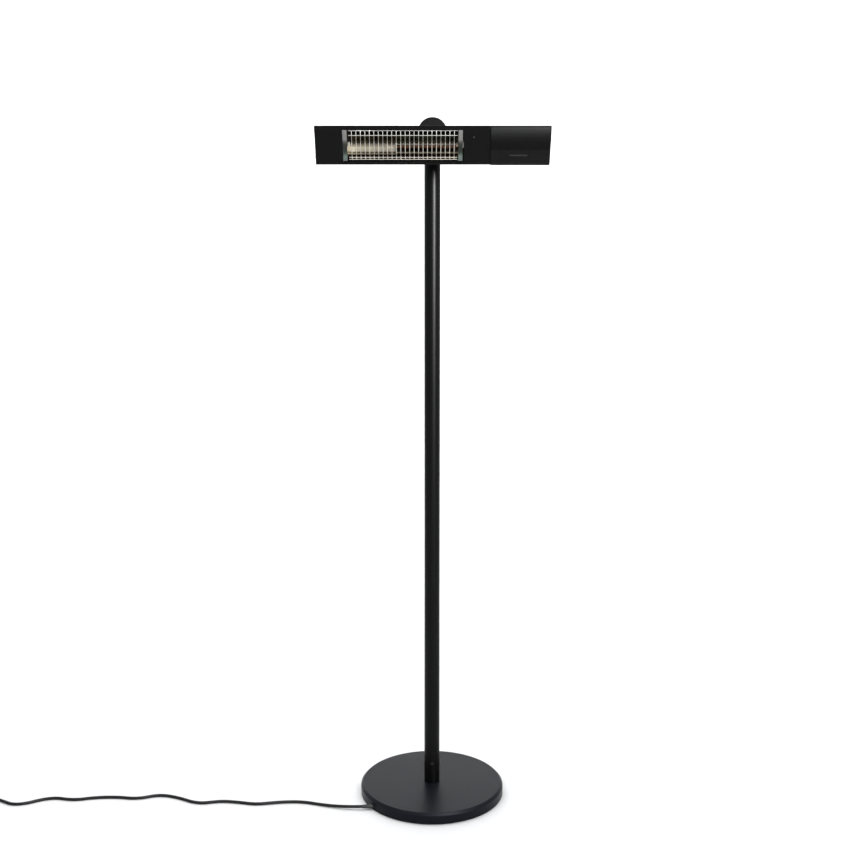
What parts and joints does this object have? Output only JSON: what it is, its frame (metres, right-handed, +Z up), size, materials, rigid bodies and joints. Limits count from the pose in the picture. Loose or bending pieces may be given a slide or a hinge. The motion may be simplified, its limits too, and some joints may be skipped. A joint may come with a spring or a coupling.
{
  "type": "outdoor heater",
  "caption": "Free-standing electric patio heater: a weighted round base, a sectioned pole and a tilting rectangular infrared head with a wire guard, mains lead and plug.",
  "frame": {"origin": "centre of the round base on the floor plane, on the pole's axis", "axes": "+Z up along the pole, -Y towards the heated side, +X towards the control end of the head"},
  "size_m": [1.8495, 0.522, 2.089],
  "materials": {
    "powder_coat": "fine-textured black powder coat",
    "plated_steel": "zinc plated",
    "dark_screws": "black oxide",
    "ballast_iron": "as cast",
    "black_rubber": "moulded",
    "cord_jacket": "matte jacket",
    "black_plastic": "fine spark texture",
    "plug_brass": "nickel-plated brass",
    "cover_gloss": "gloss graphite",
    "badge_metal": "satin",
    "led_plastic": "clear moulded",
    "reflector_aluminium": "bright, heat tinted",
    "guard_steel": "heat tinted",
    "quartz_glass": "clear amber quartz",
    "lamp_filament": "drawn tungsten",
    "lamp_ceramic": "ceramic white",
    "circuit_board": "solder resist",
    "glass_braid": "braided glass sleeve"
  },
  "bodies": {
    "stand": {"base_ballast": "ballast_iron", "base_cover": "powder_coat", "base_feet": "black_rubber", "base_grommet": "black_rubber", "base_plate": "plated_steel", "base_tie_bolts": "plated_steel", "coil_tie": "black_plastic", "cord_coil": "cord_jacket", "cord_end": "cord_jacket", "coupler_lower": "plated_steel", "coupler_upper": "plated_steel", "fork_screws": "dark_screws", "head_lead": "cord_jacket", "inner_lead": "cord_jacket", "mains_cord": "cord_jacket", "mount_disc": "powder_coat", "nut_plate": "plated_steel", "pivot_bolt": "dark_screws", "pivot_fork": "powder_coat", "pivot_nut": "dark_screws", "pivot_washers": "plated_steel", "plug_body": "black_plastic", "plug_pins": "plug_brass", "pole_cap": "powder_coat", "pole_grommet": "black_rubber", "pole_lower": "powder_coat", "pole_middle": "powder_coat", "pole_saddle": "plated_steel", "pole_set_screws": "dark_screws", "pole_spigot": "plated_steel", "pole_upper": "powder_coat"},
    "head": {"housing": "powder_coat", "front_panel": "powder_coat", "control_cover": "cover_gloss", "badge_plate": "badge_metal", "led_lens": "led_plastic", "end_cap_left": "powder_coat", "end_cap_right": "powder_coat", "end_cap_screws": "dark_screws", "head_bracket": "powder_coat", "bracket_screws": "dark_screws", "rear_gland": "black_plastic", "reflector": "reflector_aluminium", "reflector_end_left": "reflector_aluminium", "reflector_end_right": "reflector_aluminium", "lamp_tube": "quartz_glass", "heating_coil": "lamp_filament", "lamp_caps": "lamp_ceramic", "lamp_holders": "plated_steel", "heat_shields": "plated_steel", "wire_guard": "guard_steel", "control_board": "circuit_board", "board_posts": "plated_steel", "terminal_block": "lamp_ceramic", "lamp_wires": "glass_braid", "switch_body": "black_plastic"},
    "rocker": {"rocker": "black_plastic"}
  },
  "joints": [
    {"name": "head_tilt", "type": "hinge", "parent": "stand", "child": "head", "pos_m": [0, -0.07, 2.038], "axis": [1, 0, 0], "range_deg": [-25, 20], "deforming": ["head_lead"]},
    {"name": "power_rocker", "type": "hinge", "parent": "head", "child": "rocker", "pos_m": [0.3315, -0.1266, 2.00322], "axis": [0, -0.9063, -0.4226], "range_deg": [0, 20]}
  ]
}
